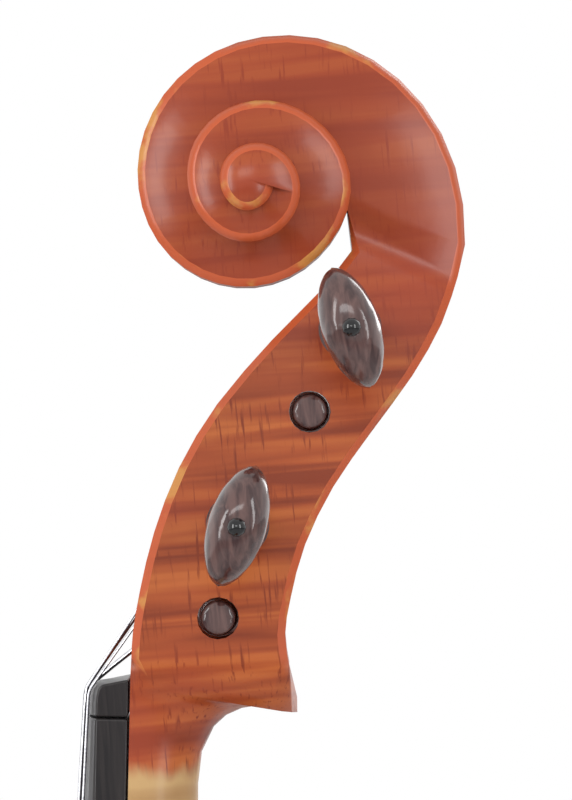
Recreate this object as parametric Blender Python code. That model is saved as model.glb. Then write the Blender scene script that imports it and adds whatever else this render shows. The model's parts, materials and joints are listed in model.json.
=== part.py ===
"""A viola, built as its maker puts it together: plates, ribs, blocks, neck, pegs and strings.

Sizes are in millimetres and become metres as each point is placed. The front of the instrument
faces -X, its back +X, its treble side -Y and its bass side +Y, with the scroll up. The origin is
where a hanger's two prongs carry the scroll, under the volute.

Points are placed in one of two frames. The neck frame has v backwards from the surface that the
fingerboard is glued to and w along it, upwards from the nut. The body frame has h forwards from
the joint of the ribs and the top plate and z upwards from the body's lower edge.
"""

import math

import bmesh
import bpy
import numpy as np
from mathutils import Vector
from mathutils.bvhtree import BVHTree

MM = 0.001
GAP = 0.3  # between two pieces that are glued or seated on each other

# Body outline, seen from the front, with each height above the lower edge
BODY_LENGTH = 406.0
UPPER_BOUT = 187.0
UPPER_BOUT_AT = 333.0
UPPER_CORNERS = 180.0
UPPER_CORNERS_AT = 262.0
WAIST = 128.0
WAIST_AT = 222.0
LOWER_CORNERS = 212.0
LOWER_CORNERS_AT = 153.0
LOWER_BOUT = 237.0
LOWER_BOUT_AT = 82.0
CORNER_END = 7.5

# Plates and ribs
EDGE_THICKNESS = 4.5
PLATE_THICKNESS = 3.2
TOP_ARCH = 18.0
BACK_ARCH = 16.5
GLUE_RIM = 9.0
RIB_HEIGHT = 37.0
RIB_THICKNESS = 1.4
OVERHANG = 3.0
BUTTON_HALF_WIDTH = 12.0
BUTTON_LENGTH = 13.0

# Blocks, linings, bar and post inside the body
END_BLOCK_WIDTH = 52.0
END_BLOCK_DEPTH = 16.0
CORNER_BLOCK_REACH = 22.0
LINING_THICKNESS = 2.0
LINING_HEIGHT = 7.0
BASS_BAR_LENGTH = 296.0
BASS_BAR_WIDTH = 6.0
BASS_BAR_DEPTH = 12.0
BASS_BAR_OFFSET = 16.0
SOUND_POST_DIAMETER = 7.0
SOUND_POST_BEHIND = 6.0

# Sound holes, as the top and bottom circles and the stem between them
F_HOLE_TOP = (27.0, 32.0)
F_HOLE_BOTTOM = (57.0, -31.0)
F_HOLE_TOP_DIAMETER = 8.0
F_HOLE_BOTTOM_DIAMETER = 10.5
F_HOLE_STEM = 7.0

# Neck and fingerboard
NECK_LEAN = math.radians(6.2)
NECK_LENGTH = 150.0
NECK_THICKNESS_NUT = 13.0
NECK_THICKNESS_HEEL = 15.0
OVERSTAND = 6.5
ROOT_DEPTH = 5.5
NUT_WIDTH = 25.2
NUT_LENGTH = 7.1
BOARD_LENGTH = 312.0
BOARD_END_WIDTH = 48.0
BOARD_SIDE = 6.4
BOARD_RADIUS = 42.0

# Scroll: the edge's radius at each eighth of a turn, from half a quarter turn below the pegbox's
# back, and the half width of the head at each quarter turn, from level with the eye at the back
EYE = (20.1, 94.4)
EDGE_RADII = (47.4, 40.3, 33.2, 27.0, 22.8, 20.7, 20.3, 20.0, 19.6, 19.6, 17.2, 14.8, 12.6,
              11.2, 11.2, 11.7, 11.2, 9.9, 8.2, 6.6, 5.5, 5.0, 5.3, 5.9, 5.5, 5.1)
HALF_WIDTHS = (8.0, 7.4, 9.0, 11.0, 13.4, 15.8, 17.8, 19.4, 20.6, 21.5, 22.1, 22.4, 21.5)
EYE_HALF_WIDTH = 22.7
THROAT_ANGLE = -15.0
SCROLL_TURNS = 3
STEPS_PER_TURN = 36
CHAMFER = 1.5
BED_DROP = 0.7
FLUTE_DEPTH = 0.8

# Pegbox, from the nut to the throat: front v, front w, back v, back w and half width
PEGBOX = ((0.1, 4.0, 29.9, 3.0, 13.8),
          (0.3, 9.0, 29.0, 9.0, 13.6),
          (1.5, 17.0, 29.9, 16.0, 13.2),
          (3.9, 27.8, 32.4, 26.0, 12.5),
          (8.3, 40.0, 37.5, 37.0, 11.7),
          (15.3, 52.2, 44.5, 47.5, 10.9),
          (25.4, 64.5, 52.0, 58.2, 9.9),
          (34.0, 73.6, 57.4, 68.2, 9.0),
          (40.2, 81.8, 60.3, 77.2, 8.5))
CHEEK_THICKNESS = 4.8
MORTISE_FLOOR = 6.0
MORTISE_START = 2.4
MORTISE_END = 74.0

# Chin, from the neck's handle round under the pegbox: front w, back v, back w, roundness
CHIN = ((-13.5, 13.6, -13.9, 1.0),
        (-9.0, 15.8, -9.1, 1.0),
        (-6.0, 18.1, -6.9, 0.95),
        (-4.0, 21.1, -5.5, 0.9),
        (-2.8, 24.1, -5.0, 0.85),
        (-1.8, 28.0, -5.3, 0.75),
        (-0.9, 31.6, -6.1, 0.6),
        (0.6, 31.5, -3.2, 0.3))
CHIN_BACK_WIDTHS = (12.6, 12.6, 12.6, 12.4, 12.0, 11.4, 10.6, 12.4)

# Pegs: centre in the pegbox, turn of the head from upright, and the side that the head is on
PEG_PLACES = {"c": (16.3, 11.9, -8.0, 1), "g": (32.8, 51.1, 30.0, 1),
              "d": (40.0, 66.8, -19.0, -1), "a": (19.7, 29.8, 16.0, -1)}
PEG_TIP_DIAMETER = 7.3
PEG_TAPER = 1 / 30
PEG_TIP_PROUD = 0.8
PEG_COLLAR_OUT = 10.0
PEG_COLLAR_DIAMETER = 12.4
PEG_HEAD_WIDTH = 24.5
PEG_HEAD_THICKNESS = 11.6
PEG_HEAD_LENGTH = 21.0
PIP_DIAMETER = 3.6
PIP_PIN_DIAMETER = 1.6
PIP_PIN_LENGTH = 3.0

# Strings, from bass to treble, with their turns on the pegs
STRING_DIAMETERS = {"c": 1.15, "g": 0.95, "d": 0.8, "a": 0.7}
STRING_TURNS = 3
STRING_TURN_GAP = 0.5
NUT_STRING_SPREAD = 17.0
BRIDGE_STRING_SPREAD = 37.5

# Bridge, tailpiece, saddle, tailgut and end button
BODY_STOP = 220.0
BRIDGE_HEIGHT = 38.0
BRIDGE_WIDTH = 48.0
BRIDGE_RADIUS = 45.0
BRIDGE_FOOT_THICKNESS = 5.0
BRIDGE_TOP_THICKNESS = 1.8
TAILPIECE_LENGTH = 116.0
TAILPIECE_TOP_WIDTH = 46.0
TAILPIECE_END_WIDTH = 22.0
TAILPIECE_THICKNESS = 6.0
STRING_AFTERLENGTH = 62.0
SADDLE_WIDTH = 35.0
SADDLE_DEPTH = 7.5
SADDLE_HEIGHT = 8.0
TAILGUT_DIAMETER = 2.2
TAILGUT_SPREAD = 9.0
BUTTON_HEAD_DIAMETER = 15.0
BUTTON_HEAD_LENGTH = 9.0
BUTTON_NECK_DIAMETER = 9.0
BUTTON_NECK_LENGTH = 7.0
BUTTON_SHANK_DIAMETER = 8.0

# Colours as linear values, with roughness
MAPLE = ((0.33, 0.11, 0.03), 0.25)
SPRUCE = ((0.42, 0.16, 0.045), 0.3)
EBONY = ((0.012, 0.010, 0.009), 0.3)
ROSEWOOD = ((0.07, 0.035, 0.03), 0.25)
BARE_WOOD = ((0.55, 0.38, 0.2), 0.6)
BRIDGE_MAPLE = ((0.5, 0.3, 0.13), 0.45)
STEEL = ((0.45, 0.45, 0.46), 0.3)
NYLON = ((0.02, 0.02, 0.02), 0.4)


# Frames

def turn_sample(values, position):
    """The value at a position in a list of rows, on a smooth curve through all of them."""
    table = np.asarray(values, dtype=float)
    first = min(max(int(math.floor(position)), 0), len(table) - 2)
    step = position - first
    before = table[max(first - 1, 0)]
    start = table[first]
    end = table[first + 1]
    after = table[min(first + 2, len(table) - 1)]
    slope_start = (end - before) / 2
    slope_end = (after - start) / 2
    rise = end - start
    return (start + step * slope_start
            + step ** 2 * (3 * rise - 2 * slope_start - slope_end)
            + step ** 3 * (slope_start + slope_end - 2 * rise))


def edge_radius(turn):
    """Radius of the scroll's edge, at an angle in degrees counted along the whole spiral."""
    return float(turn_sample(EDGE_RADII, turn / 45 + 1))


def half_width(turn):
    """Half the head's width at the scroll's edge, at an angle along the spiral."""
    return float(turn_sample(HALF_WIDTHS, max(turn, 0) / 90))


def spiral(turn, radius):
    """The point in the neck frame at an angle and a radius from the eye."""
    angle = math.radians(turn)
    return EYE[0] + radius * math.cos(angle), EYE[1] + radius * math.sin(angle)


LEAN_SIN = math.sin(NECK_LEAN)
LEAN_COS = math.cos(NECK_LEAN)
HANGER_V = EYE[0]
HANGER_W = EYE[1] - edge_radius(270)
NECK_X = -(HANGER_V * LEAN_COS + HANGER_W * LEAN_SIN)
NECK_Z = HANGER_V * LEAN_SIN - HANGER_W * LEAN_COS

# The glue surface crosses the body's upper edge at the overstand above the top plate
EDGE_W = -NUT_LENGTH - NECK_LENGTH
BODY_X = NECK_X + EDGE_W * LEAN_SIN + EDGE_THICKNESS + OVERSTAND
BODY_Z = NECK_Z + EDGE_W * LEAN_COS - BODY_LENGTH
BRIDGE_AT = BODY_LENGTH - BODY_STOP


def neck(v, y, w):
    """A point of the neck frame, in metres."""
    x = NECK_X + v * LEAN_COS + w * LEAN_SIN
    z = NECK_Z - v * LEAN_SIN + w * LEAN_COS
    return Vector((x, y, z)) * MM


def body(h, y, z):
    """A point of the body frame, in metres."""
    return Vector((BODY_X - h, y, BODY_Z + z)) * MM


def neck_from_body(h, z):
    """The v and w of a point given by its h and z."""
    x = BODY_X - h - NECK_X
    up = BODY_Z + z - NECK_Z
    return x * LEAN_COS - up * LEAN_SIN, x * LEAN_SIN + up * LEAN_COS


def glue_w(z):
    """The w where the glue surface reaches a height on the body."""
    return (BODY_Z + z - NECK_Z) / LEAN_COS


# Making objects

def clear_scene():
    for item in list(bpy.data.objects):
        bpy.data.objects.remove(item)


def finish(name, look):
    """A plain material with a colour and a roughness."""
    material = bpy.data.materials.get(name)
    if material:
        return material
    colour, roughness = look
    material = bpy.data.materials.new(name)
    material.use_nodes = True
    shader = material.node_tree.nodes["Principled BSDF"]
    shader.inputs["Base Color"].default_value = (*colour, 1)
    shader.inputs["Roughness"].default_value = roughness
    shader.inputs["Metallic"].default_value = 1.0 if look is STEEL else 0.0
    material.diffuse_color = (*colour, 1)
    return material


def make(name, points, faces, look, origin=None):
    """A closed mesh object from points in metres, with its origin on a joint's axis if given."""
    origin = origin or Vector((0, 0, 0))
    mesh = bpy.data.meshes.new(name)
    mesh.from_pydata([point - origin for point in points], [], faces)
    sheet = bmesh.new()
    sheet.from_mesh(mesh)
    bmesh.ops.remove_doubles(sheet, verts=sheet.verts, dist=0.002 * MM)
    bmesh.ops.recalc_face_normals(sheet, faces=sheet.faces)
    sheet.to_mesh(mesh)
    sheet.free()
    mesh.shade_smooth()
    mesh.set_sharp_from_angle(angle=math.radians(40))
    mesh.materials.append(finish(f"{name}_finish", look))
    item = bpy.data.objects.new(name, mesh)
    item.location = origin
    bpy.context.scene.collection.objects.link(item)
    return item


def loft(rings, closed_ends=True):
    """Points and faces of a skin over rings that all have the same number of points."""
    size = len(rings[0])
    points = [point for ring in rings for point in ring]
    faces = []
    for row in range(len(rings) - 1):
        for side in range(size):
            after = (side + 1) % size
            low = row * size
            high = low + size
            faces.append((low + side, low + after, high + after, high + side))
    if closed_ends:
        faces.append(tuple(range(size)))
        faces.append(tuple(range(len(points) - size, len(points))))
    return points, faces


def cutter(name, points, faces):
    """A guide object that only cuts others."""
    item = make(name, points, faces, BARE_WOOD)
    item.hide_render = True
    item.display_type = "WIRE"
    return item


def cut(item, tool):
    """Takes one closed shape out of another."""
    change = item.modifiers.new(tool.name, "BOOLEAN")
    change.operation = "DIFFERENCE"
    change.solver = "EXACT"
    change.object = tool


def tube(name, points, diameter, look):
    """An unbroken round cord through points in metres."""
    curve = bpy.data.curves.new(name, "CURVE")
    curve.dimensions = "3D"
    line = curve.splines.new("POLY")
    line.points.add(len(points) - 1)
    for spot, point in zip(line.points, points):
        spot.co = (*point, 1)
    curve.bevel_depth = diameter / 2 * MM
    curve.bevel_resolution = 1
    curve.use_fill_caps = True
    curve.materials.append(finish(f"{name}_finish", look))
    item = bpy.data.objects.new(name, curve)
    bpy.context.scene.collection.objects.link(item)
    return item


def circle(radius, steps, phase=0.0):
    """Offsets round a circle."""
    turns = [phase + 2 * math.pi * step / steps for step in range(steps)]
    return [(radius * math.cos(turn), radius * math.sin(turn)) for turn in turns]


def prism(outline, low, high):
    """A shape of the body frame: an outline of y and z between two heights h."""
    rings = [[body(h, y, z) for y, z in outline] for h in (low, high)]
    return loft(rings)


def blend(start, end, share):
    return start + (end - start) * share


# Body outline

def bezier(start, lead, trail, end, steps):
    """Points along a cubic curve, without its end."""
    line = []
    for step in range(steps):
        t = step / steps
        s = 1 - t
        line.append(tuple(s ** 3 * a + 3 * s * s * t * b + 3 * s * t * t * c + t ** 3 * d
                          for a, b, c, d in zip(start, lead, trail, end)))
    return line


def upper_bout_line(fine=1):
    """Half of the outline's upper bout, from the top centre to the corner."""
    wide = UPPER_BOUT / 2
    tip = (UPPER_CORNERS / 2, UPPER_CORNERS_AT)
    turn = (tip[0] - 5.5, tip[1] + 22)
    rise = BODY_LENGTH - UPPER_BOUT_AT
    line = bezier((0, BODY_LENGTH), (wide * 0.556, BODY_LENGTH),
                  (wide, UPPER_BOUT_AT + rise * 0.575), (wide, UPPER_BOUT_AT), 9 * fine)
    line += bezier((wide, UPPER_BOUT_AT), (wide, UPPER_BOUT_AT - 21),
                   (turn[0] + 2.5, turn[1] + 16), turn, 4 * fine)
    line += bezier(turn, (turn[0] - 1.5, turn[1] - 8), (tip[0] - 4.5, tip[1] + 6), tip, 4 * fine)
    return line + [tip]


def waist_line(fine=1):
    """Half of the outline's waist, from the upper corner to the lower one."""
    top = (UPPER_CORNERS / 2 - CORNER_END * 0.4, UPPER_CORNERS_AT - CORNER_END * 0.917)
    end = (LOWER_CORNERS / 2 - CORNER_END * 0.4, LOWER_CORNERS_AT + CORNER_END * 0.917)
    narrow = (WAIST / 2, WAIST_AT)
    line = bezier(top, (top[0] - 11, top[1] - 0.5), (narrow[0], narrow[1] + 21), narrow, 7 * fine)
    line += bezier(narrow, (narrow[0], narrow[1] - 29), (end[0] - 25, end[1] + 9.5), end, 8 * fine)
    return line + [end]


def lower_bout_line(fine=1):
    """Half of the outline's lower bout, from the corner to the bottom centre."""
    wide = LOWER_BOUT / 2
    tip = (LOWER_CORNERS / 2, LOWER_CORNERS_AT)
    turn = (tip[0] - 1.5, tip[1] - 20)
    line = bezier(tip, (tip[0] - 3.5, tip[1] - 5), (turn[0] - 2.7, turn[1] + 7), turn, 4 * fine)
    line += bezier(turn, (turn[0] + 4.5, turn[1] - 12), (wide, LOWER_BOUT_AT + 20),
                   (wide, LOWER_BOUT_AT), 4 * fine)
    line += bezier((wide, LOWER_BOUT_AT), (wide, LOWER_BOUT_AT * 0.43), (wide * 0.557, 0),
                   (0, 0), 10 * fine)
    return line + [(0, 0)]


def half_outline(fine=1):
    """Half of the plates' outline, from the top centre to the bottom centre."""
    return upper_bout_line(fine) + waist_line(fine) + lower_bout_line(fine)


def with_lengths(line):
    """A line's points, its inward directions and the length along it, as arrays."""
    points = np.array(line, dtype=float)
    slopes = np.gradient(points, axis=0)
    slopes /= np.linalg.norm(slopes, axis=1)[:, None]
    inward = np.stack([slopes[:, 1], -slopes[:, 0]], axis=1)
    steps = np.linalg.norm(np.diff(points, axis=0), axis=1)
    return points, inward, np.concatenate([[0], np.cumsum(steps)])


def inside(line, length, depth):
    """The point at a length along a line and a depth inside it."""
    points, inward, lengths = line
    spot = [np.interp(length, lengths, points[:, axis]) for axis in (0, 1)]
    turn = [np.interp(length, lengths, inward[:, axis]) for axis in (0, 1)]
    return spot[0] + turn[0] * depth, spot[1] + turn[1] * depth


def meeting(first, second, depth):
    """The lengths where two lines that form a corner cross, each moved inwards by a depth."""
    tail = np.linspace(first[2][-1] - 30, first[2][-1], 301)
    head = np.linspace(0, 30, 301)
    left = np.array([inside(first, length, depth) for length in tail])
    right = np.array([inside(second, length, depth) for length in head])
    apart = np.linalg.norm(left[:, None] - right[None], axis=2)
    row, column = np.unravel_index(np.argmin(apart), apart.shape)
    return float(tail[row]), float(head[column])


BOUTS = {"upper": with_lengths(upper_bout_line(6)),
         "middle": with_lengths(waist_line(6)),
         "lower": with_lengths(lower_bout_line(6))}


def bout_ends(bout, depth):
    """Where a bout's piece starts and ends at a depth inside the outline."""
    ends = {"upper": [0.0, meeting(BOUTS["upper"], BOUTS["middle"], depth)[0]],
            "middle": [meeting(BOUTS["upper"], BOUTS["middle"], depth)[1],
                       meeting(BOUTS["middle"], BOUTS["lower"], depth)[0]],
            "lower": [meeting(BOUTS["middle"], BOUTS["lower"], depth)[1],
                      BOUTS["lower"][2][-1]]}
    start, end = ends[bout]
    return start + GAP, end - GAP


BOUT_STEPS = {"upper": 14, "middle": 10, "lower": 18}


def stations(bout, start, end):
    """Places along a bout that all its pieces share, so that their flats lie side by side."""
    shared = np.linspace(0, BOUTS[bout][2][-1], BOUT_STEPS[bout] + 1)
    return [start] + [length for length in shared if start + 1 < length < end - 1] + [end]


def strip(bout, outer, inner, ends_outer, ends_inner, low, high, side):
    """A bent strip of wood along a bout, between two depths and two heights."""
    rings = []
    whole = stations(bout, max(ends_outer[0], ends_inner[0]), min(ends_outer[1], ends_inner[1]))
    lengths = [(ends_outer[0], ends_inner[0])] + [(length, length) for length in whole[1:-1]]
    lengths.append((ends_outer[1], ends_inner[1]))
    for along_outer, along_inner in lengths:
        y, z = inside(BOUTS[bout], along_outer, outer)
        inner_y, inner_z = inside(BOUTS[bout], along_inner, inner)
        rings.append([body(low, side * y, z), body(high, side * y, z),
                      body(high, side * inner_y, inner_z), body(low, side * inner_y, inner_z)])
    return loft(rings)


# Plates

def arching_line():
    """The line that the arching starts from: an outline without corners."""
    wide_low = LOWER_BOUT / 2
    wide_high = UPPER_BOUT / 2
    narrow = WAIST / 2
    line = bezier((0, 0), (wide_low * 0.557, 0), (wide_low, LOWER_BOUT_AT * 0.43),
                  (wide_low, LOWER_BOUT_AT), 24)
    line += bezier((wide_low, LOWER_BOUT_AT), (wide_low, blend(LOWER_BOUT_AT, WAIST_AT, 0.5)),
                   (narrow, blend(LOWER_BOUT_AT, WAIST_AT, 0.62)), (narrow, WAIST_AT), 24)
    line += bezier((narrow, WAIST_AT), (narrow, blend(WAIST_AT, UPPER_BOUT_AT, 0.36)),
                   (wide_high, blend(WAIST_AT, UPPER_BOUT_AT, 0.6)),
                   (wide_high, UPPER_BOUT_AT), 24)
    rise = BODY_LENGTH - UPPER_BOUT_AT
    line += bezier((wide_high, UPPER_BOUT_AT), (wide_high, UPPER_BOUT_AT + rise * 0.575),
                   (wide_high * 0.556, BODY_LENGTH), (0, BODY_LENGTH), 24)
    return np.array(line + [(0, BODY_LENGTH)])


ARCHING_LINE = arching_line()
CHANNEL_INSET = 6.0


def arching(y, z, arch):
    """How far a plate's outer face stands above its glued face."""
    wide = np.interp(z, ARCHING_LINE[:, 1], ARCHING_LINE[:, 0]) - CHANNEL_INSET
    middle = BODY_LENGTH / 2
    along = abs(z - middle) / (middle - CHANNEL_INSET)
    across = abs(y) / max(wide, 1.0)
    if along >= 1 or across >= 1:
        return EDGE_THICKNESS
    crown = (1 - along ** 2.6) ** 1.3 * (1 - across ** 2.4) ** 1.5
    return EDGE_THICKNESS + (arch - EDGE_THICKNESS) * crown


def plate(name, outline, arch, face, outwards, look):
    """An arched plate from rows across the body, hollow inside its glued rim."""
    rings = []
    for half, z in outline:
        rim = max(half - GLUE_RIM, half / 2)
        columns = [-half, -rim, -rim / 2, 0, rim / 2, rim, half]
        outer = [arching(y, z, arch) for y in columns]
        inner = [max(0.0, height - PLATE_THICKNESS) for height in outer]
        flat = GLUE_RIM + END_BLOCK_DEPTH / 2
        if min(z, BODY_LENGTH - z) < flat:
            inner = [0.0] * len(inner)
        inner[0] = inner[1] = inner[-2] = inner[-1] = 0.0
        ring = [body(face + outwards * height, y, z) for y, height in zip(columns, outer)]
        ring += [body(face + outwards * height, y, z)
                 for y, height in reversed(list(zip(columns, inner)))]
        rings.append(ring)
    return make(name, *loft(rings, closed_ends=False), look)


def eye_arc(centre, radius, first, last, steps):
    """Points round a sound hole's circle, between two angles in degrees."""
    turns = [math.radians(blend(first, last, step / steps)) for step in range(steps + 1)]
    return [(centre[0] + radius * math.cos(turn), centre[1] + radius * math.sin(turn))
            for turn in turns]


def f_hole(side, fine=1):
    """The outline of a sound hole: two circles joined by a slanted, curved stem."""
    top = (F_HOLE_TOP[0], BRIDGE_AT + F_HOLE_TOP[1])
    bottom = (F_HOLE_BOTTOM[0], BRIDGE_AT + F_HOLE_BOTTOM[1])
    upper = F_HOLE_TOP_DIAMETER / 2
    lower = F_HOLE_BOTTOM_DIAMETER / 2
    stem = F_HOLE_STEM / 2
    middle = ((top[0] + bottom[0]) / 2, (top[1] + bottom[1]) / 2)
    outer = (middle[0] + stem, middle[1])
    inner = (middle[0] - stem, middle[1])
    crest = (top[0] + 1.6 * upper, top[1] + 2.7 * upper)
    root = (bottom[0] - 1.5 * lower, bottom[1] - 2.4 * lower)
    top_eye = eye_arc(top, upper, 35, -262, 7 * fine)
    bottom_eye = eye_arc(bottom, lower, 205, -98, 7 * fine)
    line = top_eye[:-1]
    line += bezier(top_eye[-1], (top[0], top[1] + 2 * upper), (top[0] + 0.7 * upper, crest[1]),
                   crest, 3 * fine)
    line += bezier(crest, (crest[0] + 1.8 * upper, crest[1]), (outer[0] - 4, middle[1] + 22),
                   outer, 6 * fine)
    line += bezier(outer, (outer[0] + 2, middle[1] - 12), (outer[0] + 4, middle[1] - 24),
                   bottom_eye[0], 5 * fine)
    line += bottom_eye[:-1]
    line += bezier(bottom_eye[-1], (bottom[0], bottom[1] - 2 * lower),
                   (bottom[0] - 0.8 * lower, root[1]), root, 3 * fine)
    line += bezier(root, (root[0] - 1.5 * lower, root[1]), (inner[0] + 4, middle[1] - 22),
                   inner, 6 * fine)
    line += bezier(inner, (inner[0] - 2, middle[1] + 12), (inner[0] - 4, middle[1] + 24),
                   top_eye[0], 5 * fine)
    return [(side * y, z) for y, z in line]


def make_plates():
    """The arched top with its two sound holes, and the back with its button."""
    outline = half_outline()
    top = plate("top_plate", outline, TOP_ARCH, 0.0, 1, SPRUCE)
    for side, name in ((1, "bass"), (-1, "treble")):
        hole = prism(f_hole(side), -EDGE_THICKNESS, TOP_ARCH + EDGE_THICKNESS)
        cut(top, cutter(f"{name}_f_hole_cutter", *hole))
    saddle_half = SADDLE_WIDTH / 2 + GAP
    notch = prism([(-saddle_half, -OVERHANG), (saddle_half, -OVERHANG),
                   (saddle_half, SADDLE_DEPTH + GAP), (-saddle_half, SADDLE_DEPTH + GAP)],
                  -EDGE_THICKNESS, TOP_ARCH)
    cut(top, cutter("saddle_notch_cutter", *notch))
    button_centre = BODY_LENGTH + BUTTON_LENGTH - BUTTON_HALF_WIDTH
    button = [(BUTTON_HALF_WIDTH * math.sin(turn),
               button_centre + BUTTON_HALF_WIDTH * math.cos(turn))
              for turn in np.radians([0, 20, 40, 60, 80])]
    button.append((BUTTON_HALF_WIDTH, BODY_LENGTH + 0.5))
    shoulders = [(y, z) for y, z in outline if y > BUTTON_HALF_WIDTH + 1]
    plate("back_plate", button + shoulders + [(0, 0)], BACK_ARCH, -RIB_HEIGHT, -1, MAPLE)
    return top


# Ribs, blocks and linings

def make_ribs():
    """Six bent ribs, mitred at the corners and butted at the bottom centre."""
    inner = OVERHANG + RIB_THICKNESS
    shank = BUTTON_SHANK_DIAMETER / 2 + GAP
    hole = [[body(-RIB_HEIGHT / 2 + up, y, z) for y, up in circle(shank, 16)]
            for z in (-OVERHANG, END_BLOCK_DEPTH + 3 * OVERHANG)]
    hole_cutter = cutter("button_hole_cutter", *loft(hole))
    for bout in BOUTS:
        for side, name in ((1, "bass"), (-1, "treble")):
            rib = make(f"{name}_{bout}_rib",
                       *strip(bout, OVERHANG, inner, bout_ends(bout, OVERHANG),
                              bout_ends(bout, inner), -RIB_HEIGHT + GAP, -GAP, side), MAPLE)
            if bout == "upper":
                cut(rib, bpy.data.objects["neck_root_cutter"])
            if bout == "lower":
                cut(rib, hole_cutter)


def block(name, outline):
    return make(name, *prism(outline, -RIB_HEIGHT + GAP, -GAP), BARE_WOOD)


def make_blocks():
    """The two end blocks and the four corner blocks that the ribs are glued to."""
    depth = OVERHANG + RIB_THICKNESS + GAP
    half = END_BLOCK_WIDTH / 2
    top_arc = [inside(BOUTS["upper"], length, depth)
               for length in stations("upper", 0, half)]
    inner_z = BODY_LENGTH - depth - END_BLOCK_DEPTH
    top = block("top_block", [(-y, z) for y, z in top_arc[:0:-1]] + top_arc
                + [(half, inner_z), (-half, inner_z)])
    cut(top, bpy.data.objects["neck_root_cutter"])
    whole = BOUTS["lower"][2][-1]
    low_arc = [inside(BOUTS["lower"], length, depth)
               for length in stations("lower", whole - half, whole)[::-1]]
    inner_z = depth + END_BLOCK_DEPTH
    bottom = block("bottom_block", [(-y, z) for y, z in low_arc[:0:-1]] + low_arc
                   + [(half, inner_z), (-half, inner_z)])
    cut(bottom, bpy.data.objects["button_hole_cutter"])
    for first, second, place in (("upper", "middle", "upper"), ("middle", "lower", "lower")):
        end, start = meeting(BOUTS[first], BOUTS[second], depth)
        near = [inside(BOUTS[first], length, depth)
                for length in stations(first, end - CORNER_BLOCK_REACH, end)]
        far = [inside(BOUTS[second], length, depth)
               for length in stations(second, start, start + CORNER_BLOCK_REACH)[1:]]
        for side, name in ((1, "bass"), (-1, "treble")):
            block(f"{name}_{place}_corner_block", [(side * y, z) for y, z in near + far])


def make_linings():
    """Thin strips that widen the ribs' glued edges between the blocks."""
    outer = OVERHANG + RIB_THICKNESS + GAP
    inner = outer + LINING_THICKNESS
    clear = CORNER_BLOCK_REACH + 4 * GAP
    end_clear = END_BLOCK_WIDTH / 2 + 4 * GAP
    lifted = LINING_HEIGHT + GAP
    for edge, low, high in (("front", -lifted, -GAP),
                            ("back", -RIB_HEIGHT + GAP, -RIB_HEIGHT + lifted)):
        for bout in BOUTS:
            start, end = bout_ends(bout, outer)
            start += end_clear if bout == "upper" else clear
            end -= end_clear if bout == "lower" else clear
            for side, name in ((1, "bass"), (-1, "treble")):
                make(f"{name}_{bout}_{edge}_lining",
                     *strip(bout, outer, inner, (start, end), (start, end), low, high, side),
                     BARE_WOOD)


def surface(item):
    """An object's finished faces, to measure from."""
    return BVHTree.FromObject(item, bpy.context.evaluated_depsgraph_get())


def height_at(faces, y, z, start, direction):
    """The height h where a line along the body's depth first meets some faces."""
    spot = faces.ray_cast(body(start, y, z), Vector((-direction, 0, 0)))[0]
    return BODY_X - spot.x / MM


def make_bar_and_post():
    """The bass bar under the top plate, and the sound post between the plates."""
    bpy.context.view_layer.update()
    top = surface(bpy.data.objects["top_plate"])
    back = surface(bpy.data.objects["back_plate"])
    inside_h = -RIB_HEIGHT / 2
    half = BASS_BAR_WIDTH / 2
    rings = []
    for step in range(15):
        share = step / 14 * 2 - 1
        z = BRIDGE_AT + share * BASS_BAR_LENGTH / 2
        depth = blend(BASS_BAR_DEPTH, BASS_BAR_DEPTH / 3, share * share)
        sides = [BASS_BAR_OFFSET - half, BASS_BAR_OFFSET + half]
        tops = [height_at(top, y, z, inside_h, 1) - 2 * GAP for y in sides]
        low = min(tops) - depth
        rings.append([body(tops[0], sides[0], z), body(tops[1], sides[1], z),
                      body(low, sides[1], z), body(low, sides[0], z)])
    make("bass_bar", *loft(rings), BARE_WOOD)
    z = BRIDGE_AT - SOUND_POST_BEHIND
    y = -BRIDGE_WIDTH / 2 + 6
    spots = circle(SOUND_POST_DIAMETER / 2, 12)
    upper = [body(height_at(top, y + side, z + up, inside_h, 1) - GAP, y + side, z + up)
             for side, up in spots]
    lower = [body(height_at(back, y + side, z + up, inside_h, -1) + GAP, y + side, z + up)
             for side, up in spots]
    make("sound_post", *loft([lower, upper]), BARE_WOOD)


# Neck, pegbox and scroll

ROUND_ANGLES = np.radians((0, 14, 34, 56, 74))
ROUND_POWER = 2 / 2.2


def section(front, back, half_front, half_back, roundness):
    """A slice of the neck or pegbox: twelve points, from the front's middle round by the bass."""
    front = np.array(front)
    back = np.array(back)
    depth = float(np.linalg.norm(back - front))
    edge = CHAMFER / depth
    square = [(0, half_front - CHAMFER), (edge, half_front), (1 - edge, half_back),
              (1, half_back - CHAMFER), (1 - FLUTE_DEPTH / depth, half_back / 2)]
    rounded = [(math.sin(turn) ** ROUND_POWER, half_front * math.cos(turn) ** ROUND_POWER)
               for turn in ROUND_ANGLES]
    half = [(blend(a, c, roundness), blend(b, d, roundness))
            for (a, b), (c, d) in zip(square, rounded)]
    ring = [(0, 0)] + half + [(1, 0)] + [(share, -y) for share, y in half[::-1]]
    spots = [(blend(front, back, share), y) for share, y in ring]
    return [neck(spot[0], y, spot[1]) for spot, y in spots]


def board_half(w):
    """Half the fingerboard's width, which the neck shares, at a place along the neck."""
    return blend(NUT_WIDTH, BOARD_END_WIDTH, (-w - NUT_LENGTH) / BOARD_LENGTH) / 2


def neck_thickness(w):
    handle = NECK_LENGTH - 40
    return blend(NECK_THICKNESS_NUT, NECK_THICKNESS_HEEL, (-w - 20) / handle)


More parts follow.
